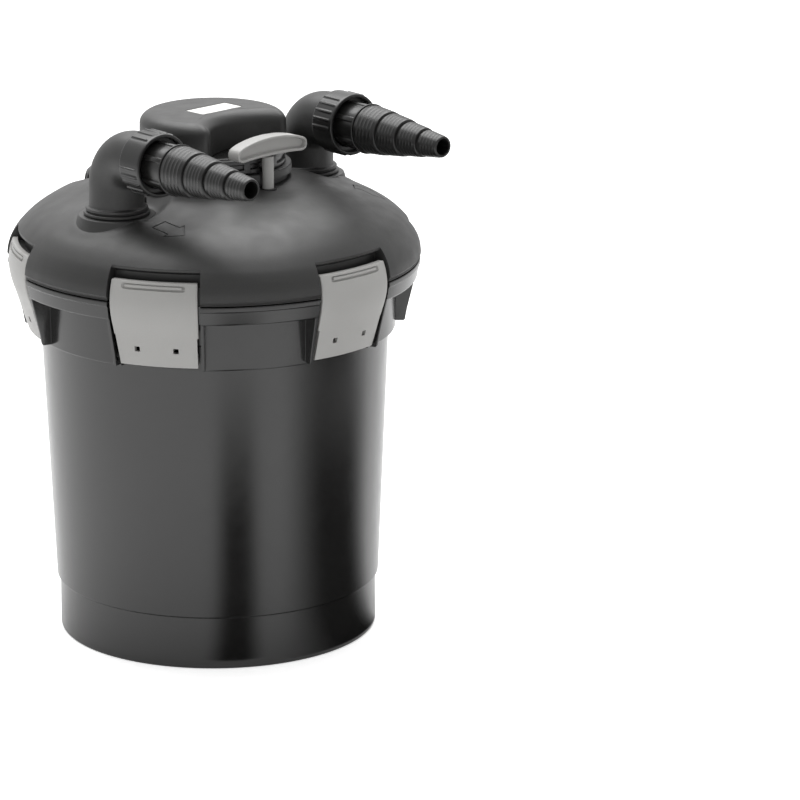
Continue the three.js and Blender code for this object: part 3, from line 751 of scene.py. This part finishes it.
def collar_rib(r, bearing, z):
    """Six short ribs on the tail's collar, behind its largest step."""
    if 20.4 < r < 20.7 and 62 < z < 90:
        wave = math.cos(math.radians(bearing * 6))
        return r + 1.6 * smooth(wave, 0.75, 0.9) * smooth(z, 62, 64), z
    return r, z


def hose_port(side_name, side):
    port = at(side * PORT_DISTANCE, 0) @ spun(ARM_SWING)
    elbow(side_name, port, -side)
    union_nut(side_name, port)
    piece(f"hose_tail_{side_name}", along(turned(tail_outline(), 144, collar_rib)), place=port)
    washer = ring_section(17, 24.2, 54.3, 56.3, 0.4)
    piece(f"tail_washer_{side_name}", along(turned(washer, 64)), place=port)
    piece(f"port_seal_{side_name}", turned(bead(21.3, 401.5, 0.6, 1.5), 64), place=port)


def drain():
    def rib(r, bearing, z):
        wave = math.cos(math.radians(bearing * 24))
        fade = smooth(z, 1, 3) * (1 - smooth(z, 12, 15))
        return (r - 1.3 * fade * smooth(wave, -0.2, 0.5), z) if r > 26.5 else (r, z)

    crown = through([(28.6, 12), (27, 15.6), (22.5, 19), (15, 20.6), (6, 21), (0, 21)])
    skirt = rounded([(25.4, GAP), (29.6, GAP, 0.8), (29.6, 2.5), (29.6, 5), (29.4, 8)])
    at_drain = at(0, DRAIN_DISTANCE, DRAIN_TOP)
    piece("drain_cap", turned([*skirt, *crown, (0, 14.5), (25.4, 14.5)], 288, rib), place=at_drain)
    piece("drain_seal", turned(ring_section(19, 24.2, 11.3, 13.8, 0.8), 64), place=at_drain)


# ------------------------------------------------------------------ pull handle
def grip_outline():
    """The grip's front outline, counter-clockwise: a crescent with blunt ends."""
    right = through([(0, 18.8), (15, 18), (29, 15.6), (37.6, 13), (41.8, 10.2), (42.9, 6), (41.6, 2),
                     (38.6, 0.4)])
    bottom = through([(36, 0), (20, 1.2), (0, 1.6)])
    left = [(-x, y) for x, y in reversed(right[1:])]
    lower_left = [(-x, y) for x, y in reversed(bottom[:-1])]
    return [*right, *bottom, *lower_left, *left][::-1]


def handle():
    outline = grip_outline()
    half_thickness = 7
    body = stacked(lambda d: inset(outline, d), soft_ends(-half_thickness, half_thickness, 0.8))
    panel = stacked(lambda d: inset(outline, d), [(half_thickness - 4, 2.7), (half_thickness + 1, 1.9)])
    upright = at(0, -ROD_DISTANCE, GRIP_BOTTOM) @ spun(90, "X")
    piece("handle_grip", carved(body, ("cut", panel)), place=upright)
    rod_top = GRIP_BOTTOM - 0.3
    rod = rounded([(0, 30), (ROD_RADIUS, 30, 0.8), (ROD_RADIUS, rod_top, 0.3), (0, rod_top)])
    on_rod = at(0, -ROD_DISTANCE)
    piece("pull_rod", turned(rod, 48), place=on_rod)
    for node, bottom, top in (("rod_bush", 420.5, 428), ("rod_seal", 417, 420)):
        ring = rounded([(5.6, bottom, 0.3), (7.2, bottom, 0.3), (7.2, top, 0.5), (5.6, top, 0.5)])
        piece(node, turned(ring, 48), place=on_rod)
    corners = [math.radians(60 * i) for i in range(6)]
    hexagon = rounded([(9 * math.cos(angle), 9 * math.sin(angle), 0.6) for angle in corners], 2)
    nut = stacked(lambda d: inset(hexagon, d), [(30.4, 0.6), (30.9, 0), (37.9, 0), (38.4, 0.6)])
    piece("rod_nut", carved(nut, ("cut", cylinder(5.6, 20, 50))), place=on_rod)


# ------------------------------------------------------------------ filter cartridge
def perforated_plate(node, middle_hole, rod_hole):
    """A foam plate: twelve windows outside, two rings of round holes inside, none of them near the rod."""
    bottom = low(node).z
    top = bottom + 6
    rim = rounded([(middle_hole, bottom, 0.6), (141, bottom, 1), (141, top, 1), (middle_hole, top, 0.6)])
    window = [(88, bottom - 1), (132, bottom - 1), (132, bottom + 10), (88, bottom + 10)]
    steps = [("cut", swept(window, 11, 0, 6, 30 * i + 15)) for i in range(12)]
    rod_place = Vector((0, -ROD_DISTANCE, 0))
    for radius in (66, 79):
        for i in range(24):
            hole_place = spun(15 * i + 7.5) @ at(0, -radius)
            if (hole_place.translation - rod_place).length > 16:
                steps.append(("cut", moved(cylinder(3, bottom - 1, bottom + 8, 16), hole_place)))
    rod = cylinder(rod_hole, bottom - 5, bottom + 10)
    steps.append(("cut", moved(rod, at(0, -ROD_DISTANCE))))
    piece(node, carved(turned(rim, 144), *steps))


def foam_ring(level):
    """One foam disc: soft edges, a wavy cut surface, a hole for the rod."""
    node = f"foam_{level + 1}"
    bottom, top = low(node).z, high(node).z
    edge = rounded([(52, bottom, 3), (142, bottom, 4), (142, top, 4), (52, top, 3)], 4)
    dense = []
    for i, start in enumerate(edge):
        end = edge[(i + 1) % len(edge)]
        count = max(1, round(math.dist(start, end) / 3))
        dense += [tuple(Vector(start).lerp(Vector(end), k / count)) for k in range(count)]

    def ragged(r, bearing, z):
        place = Vector((r * math.sin(math.radians(bearing)), -r * math.cos(math.radians(bearing)), z))
        pull = 0.5 + 0.5 * noise.noise(place * 0.11) + 0.35 * noise.noise(place * 0.5)
        pull = min(max(pull, 0), 1.2)
        middle = (bottom + top) / 2
        return (r - pull if r > 100 else r + pull), middle + (z - middle) * (1 - pull * 0.012)

    rod = cylinder(8, bottom - 5, top + 5)
    mesh = carved(turned(dense, 180, ragged), ("cut", moved(rod, at(0, -ROD_DISTANCE))))
    fine = piece(node, mesh, 60)
    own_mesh(fine)


def cartridge():
    perforated_plate("pressure_plate", 52.6, 5.65)
    perforated_plate("top_plate", 50.6, 6.45)
    for level in range(FOAM_COUNT):
        foam_ring(level)
    bottom, top = low("centre_tube").z, high("centre_tube").z
    wall = ring_section(47, 50, bottom, top, 0.6)
    steps = []
    for level in range(FOAM_COUNT):
        height = FOAM_BOTTOM + FOAM_HEIGHT * (level + 0.5)
        for turn in range(0, 180, 30):
            slot = moved(slab(120, 9, -17, 17, 0, 3), at(0, 0, height) @ spun(turn))
            steps.append(("cut", slot))
    piece("centre_tube", carved(turned(wall, 96), *steps))


# ------------------------------------------------------------------ lamp head
SCOOP_DEPTH = 22.5
SCOOP_RADIUS = 55
CORNER_RADIUS = 6
LEAST_CORNER_RADIUS = 4
SHOULDER_DEPTH = 13.4  # how far in from its side the head's top is rounded


def head_plan(depth):
    """The head's plan, inset: a circle scooped out in front by another, with two soft corners.
    Beyond the shoulder the plan only shrinks towards the middle."""
    shrink = max(0, depth - SHOULDER_DEPTH)
    depth -= shrink
    rim = HEAD_RADIUS - depth
    scoop = SCOOP_RADIUS + depth
    scoop_y = -SCOOP_DEPTH - SCOOP_RADIUS
    radius = max(CORNER_RADIUS - depth, LEAST_CORNER_RADIUS)
    to_corner = rim - radius
    to_scoop = scoop + radius
    corner_y = -(to_corner ** 2 + scoop_y ** 2 - to_scoop ** 2) / (-2 * scoop_y)
    corner_x = math.sqrt(to_corner ** 2 - corner_y ** 2)
    out = math.atan2(corner_y, corner_x)
    back = []
    for step in range(121):
        angle = out + (math.pi - 2 * out) * step / 120
        back.append((rim * math.cos(angle), rim * math.sin(angle)))
    inward = math.pi - math.atan2(scoop_y - corner_y, -corner_x)
    sweep = inward % (2 * math.pi) - (math.pi - out)
    corner = []
    for step in range(1, 13):
        angle = math.pi - out + sweep * step / 12
        corner.append((-corner_x + radius * math.cos(angle), corner_y + radius * math.sin(angle)))
    half = math.atan2(corner_x, corner_y - scoop_y)
    front = []
    for step in range(1, 60):
        angle = math.pi / 2 + half - 2 * half * step / 60
        front.append((scoop * math.cos(angle), scoop_y + scoop * math.sin(angle)))
    plan = back + corner + front + [(-x, y) for x, y in reversed(corner)]
    scale = 1 - shrink / (HEAD_RADIUS - SHOULDER_DEPTH)
    return [(x * scale, y * scale) for x, y in plan]


LABEL = (6, 5)
SCREW_PLACES = [(-49, 0), (49, 0), (0, 49)]


def head_cap():
    rise, crown = 10.6, 0.2  # of the rounded shoulder, and of the nearly flat top inside it
    shoulder = HEAD_TOP - rise - crown
    turns = [math.pi / 2 * step / 10 for step in range(11)]
    levels = [(HEAD_BOTTOM + height, depth) for height, depth in reversed(edge_curve(0.6, 2))]
    levels += [(shoulder + rise * math.sin(t), SHOULDER_DEPTH - 13 * math.cos(t)) for t in turns]
    for share in (0.3, 0.6, 0.85):
        depth = SHOULDER_DEPTH + (HEAD_RADIUS - SHOULDER_DEPTH) * share
        levels.append((shoulder + rise + crown * share, depth))
    hollow = stacked(head_plan, [(HEAD_BOTTOM - 1, 3.4), (shoulder + 2, 3.6), (shoulder + 3.4, 5)])
    steps = [("cut", hollow)]
    for x, y in SCREW_PLACES:
        steps.append(("add", moved(cylinder(5, HEAD_BOTTOM, 482, 24), at(x, y))))
        steps.append(("cut", moved(cylinder(2, 450, 467.4, 16), at(x, y))))
    pocket = moved(slab(50, 24, 487.4, 492, 0.2, 1.4), at(*LABEL))
    steps.append(("cut", pocket))
    gland_place = spun(CABLE_BEARING) @ at(0, -HEAD_RADIUS, GLAND_HEIGHT) @ spun(90, "X")
    steps.append(("cut", moved(cylinder(7.3, -15, 15), gland_place)))
    piece("head_cap", carved(stacked(head_plan, levels), *steps))
    plate = rectangle(49.2, 23.2, 1.2)
    label = stacked(lambda d: inset(plate, d), [(487.5, 0), (488.1, 0), (488.3, 0.2)])
    piece("head_label", label, place=at(*LABEL))


def lamp_internals():
    seat = HEAD_BOTTOM - GAP
    carrier = rounded([
        (24.4, 426, 0.5), (43.6, 426, 1), (43.6, 431.5, 0.4), (41.6, 431.5), (41.6, 435.5),
        (43.6, 435.5, 0.4), (43.6, seat - 4.6, 1), (55, seat - 4.6, 0.8), (55, seat, 0.8), (24.4, seat, 0.5),
    ])
    steps = [("cut", moved(cylinder(2.4, 440, 460, 16), at(x, y))) for x, y in SCREW_PLACES]
    piece("lamp_carrier", carved(turned(carrier, 96), *steps))
    for i, (x, y) in enumerate(SCREW_PLACES):
        head = seat - 6.8
        screw = rounded([(0, head), (3.8, head, 0.8), (3.8, head + 2, 0.3), (1.8, head + 2),
                         (1.8, 465, 0.6), (0, 465)])
        piece(f"cap_screw_{i + 1}", turned(screw, 32), place=at(x, y))
    piece("carrier_seal", turned(bead(43.25, 433.5, 1.35, 1.6), 96))
    piece("quartz_sleeve", quartz_sleeve())
    piece("sleeve_seal", turned(ring_section(22.8, 26.6, 422.4, 425.6, 0.8), 72))

    def knurl(r, bearing, z):
        return (r - smooth(math.cos(math.radians(bearing * 18)), 0, 0.6), z) if r > 33 else (r, z)

    nut = rounded([(23.2, 412, 0.6), (34, 412, 1.2), (34, 422, 1.2), (23.2, 422, 0.6)])
    piece("sleeve_nut", turned(nut, 216, knurl))
    glass = rounded([(0, 160), (8, 160, 6), (8, 432), (0, 432)])
    lamp = carved(moved(turned(glass, 40), at(-9.4, 0)), ("add", moved(turned(glass, 40), at(9.4, 0))),
                  ("add", moved(slab(24, 8, 162.5, 170, 2, 3), at(0, 0))),
                  ("add", moved(slab(30, 17, 428, 448, 1, 3), at(0, 0))))
    piece("uvc_lamp", lamp)
    piece("lamp_socket", slab(32, 24, 448.4, 460.4, 1, 3))
    piece("ballast", slab(56, 34, 461, 477, 1.2, 2.5), place=at(4, 12))


def quartz_sleeve():
    outer, inner, bottom, top = 22.5, 20.9, 120, 446

    def arc(radius):
        turns = [math.pi / 2 * step / 12 for step in range(13)]
        return [(radius * math.sin(t), bottom + outer - radius * math.cos(t)) for t in turns]

    mouth = rounded([(outer, top, 0.7), (inner, top, 0.7)])
    return turned([*arc(outer), *mouth, *reversed(arc(inner))], 72)


def bayonet_ring():
    bottom, top = NECK_TOP + GAP, HEAD_BOTTOM - GAP
    outline = rounded([
        (56, bottom, 0.5), (66.2, bottom, 0.8), (66.2, bottom + 4.2, 0.6), (63.8, bottom + 5, 0.4),
        (63.8, bottom + 8.6, 0.4), (66.2, bottom + 9.4, 0.6), (66.2, top, 0.8), (56, top, 0.5),
    ])
    bars = []
    for i in range(12):
        bar = moved(slab(7, 3.4, bottom + 1, top - 1, 0.5, 1), spun(30 * i + 15) @ at(0, -64.6))
        bars.append(("add", bar))
    piece("bayonet_ring", carved(turned(outline, 144), *bars))


# ------------------------------------------------------------------ supply cable
def cable():
    radius, hang, plug_top = 3.4, 199.5, 100
    turn = spun(CABLE_BEARING)
    run = through([(-64.5, GLAND_HEIGHT), (-81.5, GLAND_HEIGHT), (-102, 450), (-122, 423), (-145, 411.5),
                   (-163, 400.5), (-179, 389), (-191, 374), (-197.5, 356), (-hang, 330), (-hang, 240),
                   (-hang, plug_top - 8)], 8)
    piece("power_cable", tube(run, radius, 24), place=turn)

    def knurl(r, bearing, z):
        if r < 9 or z > 76:
            return r, z
        return r - 0.8 * smooth(math.cos(math.radians(bearing * 12)), 0, 0.7), z

    gland = rounded([(4.9, 62.5), (7, 62.5, 0.4), (7, 68.1), (10, 68.1, 0.8), (10, 75.5, 0.8),
                     (7.2, 78.5, 1.5), (4.9, 78.5, 0.6)])
    lay = turn @ at(0, 0, GLAND_HEIGHT) @ spun(90, "X")
    piece("cable_gland", turned(gland, 144, knurl), place=lay)
    plug_bottom, half_thickness = plug_top - 36, 6.5
    plan = rounded([(-17.5, 0, 2), (17.5, 0, 2), (14.5, 24, 5), (6.5, 36, 3), (-6.5, 36, 3), (-14.5, 24, 5)])
    body = stacked(lambda d: inset(plan, d), soft_ends(-half_thickness, half_thickness, 2))
    body = moved(body, at(0, -hang, plug_bottom) @ spun(90, "X"))
    pin = rounded([(0, 45), (2, 45, 0.8), (2, 66), (0, 66)])
    steps = [("add", moved(turned(pin, 24), at(x, -hang))) for x in (-9.5, 9.5)]
    steps.append(("cut", moved(cylinder(radius + GAP, 91, 102, 24), at(0, -hang))))
    for height in (70, 74, 78):
        for face in (-1, 1):
            groove = slab(20, 1.6, height - 0.6, height + 0.6, 0.3, 0.4)
            steps.append(("cut", moved(groove, at(0, -hang + face * 6.6))))
    piece("mains_plug", carved(body, *steps), place=turn)


# ------------------------------------------------------------------ the whole filter
tank()
for index in range(CLIP_COUNT):
    clip(index)
lid()
hose_port("out", -1)
hose_port("in", 1)
drain()
handle()
cartridge()
head_cap()
lamp_internals()
bayonet_ring()
cable()
piece("lid_seal", turned(ring_section(163.8, 172.2, 351.6, 355.1, 0.8), 144))


# ------------------------------------------------------------------ studio
def floor():
    mesh = bpy.data.meshes.new("studio_floor")
    reach = 30
    mesh.from_pydata([(-reach, -reach, 0), (reach, -reach, 0), (reach, reach, 0), (-reach, reach, 0)], [],
                     [(0, 1, 2, 3)])
    ground = bpy.data.objects.new("studio_floor", mesh)
    bpy.context.scene.collection.objects.link(ground)
    material, nodes, links, shader = node_tree("floor_paper")
    coordinates = nodes.new("ShaderNodeTexCoord")
    fibre = noise_texture(nodes, links, coordinates, 30)
    links.new(mixed(nodes, links, fibre.outputs["Fac"], (0.9, 0.9, 0.9, 1), (0.93, 0.93, 0.93, 1)),
              shader.inputs["Base Color"])
    shader.inputs["Roughness"].default_value = 0.9
    shader.inputs["Emission Color"].default_value = (1, 1, 1, 1)
    path = nodes.new("ShaderNodeLightPath")
    glow = ranged(nodes, links, path.outputs["Is Camera Ray"], 0.1, 0.55, 0, 1)
    links.new(glow, shader.inputs["Emission Strength"])
    mesh.materials.append(material)


def soft_light(name, place, target, width, height, power):
    data = bpy.data.lights.new(name, "AREA")
    data.shape = "RECTANGLE"
    data.size = width
    data.size_y = height
    data.energy = power
    lamp = bpy.data.objects.new(name, data)
    lamp.location = place
    lamp.rotation_euler = (Vector(target) - Vector(place)).to_track_quat("-Z", "Y").to_euler()
    bpy.context.scene.collection.objects.link(lamp)


CAMERA_BEARING = -42.8  # where the camera stands, from the front
LIT_POINT = (0, 0, 0.42)  # metres, on the lid


def place_round(turn, lift, distance):
    """A place round the lit point: its bearing to the right of the camera's, height angle and distance."""
    bearing = math.radians(CAMERA_BEARING + turn)
    reach = distance * math.cos(math.radians(lift))
    height = LIT_POINT[2] + distance * math.sin(math.radians(lift))
    return (reach * math.sin(bearing), -reach * math.cos(bearing), height)


def flag(name, corners):
    """A black card with soft edges on the floor, which only reflections see.
    Its corners are (bearing right of the camera, distance): near left, near right, far right, far left."""
    places = []
    for turn, distance in corners:
        bearing = math.radians(CAMERA_BEARING + turn)
        places.append(Vector((distance * math.sin(bearing), -distance * math.cos(bearing), 0.004)))
    cells = 24
    points, cover, faces = [], [], []
    for i in range(cells + 1):
        for j in range(cells + 1):
            across, away = i / cells, j / cells
            near = places[0].lerp(places[1], across)
            far = places[3].lerp(places[2], across)
            side = smooth(across, 0, 0.4) * (1 - smooth(across, 0.6, 1))
            cover.append(side * (1 - smooth(away, 0.35, 1)))
            corner = len(points)
            points.append(tuple(near.lerp(far, away)))
            if i < cells and j < cells:
                faces.append((corner, corner + 1, corner + cells + 2, corner + cells + 1))
    mesh = bpy.data.meshes.new(name)
    mesh.from_pydata(points, [], faces)
    mesh.attributes.new("cover", "FLOAT", "POINT").data.foreach_set("value", cover)
    card = bpy.data.objects.new(name, mesh)
    bpy.context.scene.collection.objects.link(card)
    material, nodes, links, shader = node_tree(name)
    shader.inputs["Base Color"].default_value = (0.005, 0.005, 0.005, 1)
    shader.inputs["Specular IOR Level"].default_value = 0
    share = nodes.new("ShaderNodeAttribute")
    share.attribute_name = "cover"
    links.new(share.outputs["Fac"], shader.inputs["Alpha"])
    mesh.materials.append(material)
    card.visible_camera = False
    card.visible_diffuse = False
    card.visible_shadow = False
    card.visible_transmission = False


def sky():
    """An even white surround, brighter behind the filter than on the camera's side."""
    world = bpy.data.worlds.new("studio")
    bpy.context.scene.world = world
    world.use_nodes = True
    background = world.node_tree.nodes["Background"]
    background.inputs["Color"].default_value = (1, 1, 1, 1)
    direction = world.node_tree.nodes.new("ShaderNodeTexCoord")
    behind = world.node_tree.nodes.new("ShaderNodeVectorMath")
    behind.operation = "DOT_PRODUCT"
    camera_bearing = math.radians(CAMERA_BEARING)
    behind.inputs[1].default_value = (-math.sin(camera_bearing), math.cos(camera_bearing), 0.1)
    strength = world.node_tree.nodes.new("ShaderNodeMapRange")
    strength.interpolation_type = "SMOOTHSTEP"
    strength.inputs["From Min"].default_value = -0.3
    strength.inputs["To Min"].default_value = 0.42
    strength.inputs["To Max"].default_value = 1
    world.node_tree.links.new(direction.outputs["Generated"], behind.inputs[0])
    world.node_tree.links.new(behind.outputs["Value"], strength.inputs["Value"])
    world.node_tree.links.new(strength.outputs["Result"], background.inputs["Strength"])


def studio_camera():
    data = bpy.data.cameras.new("camera")
    data.lens = 202.98
    data.sensor_width = 36
    camera = bpy.data.objects.new("camera", data)
    camera.location = (-2.7444, -2.9637, 1.3668)
    camera.rotation_euler = (math.radians(90 - 15.954), 0, math.radians(-45.227))
    bpy.context.scene.collection.objects.link(camera)
    bpy.context.scene.camera = camera


def studio():
    bpy.context.scene.view_settings.view_transform = "Standard"
    floor()
    sky()
    soft_light("overhead", place_round(192, 74, 2.4), LIT_POINT, 2.6, 3.4, 84)
    flag("flag_front", [(-8, 0.16), (20, 0.16), (30, 0.85), (-4, 0.85)])
    flag("flag_right", [(20, 0.16), (92, 0.16), (122, 1.4), (42, 1.4)])
    flag("flag_far", [(40, 0.9), (112, 0.9), (108, 3.2), (60, 3.2)])
    studio_camera()


studio()
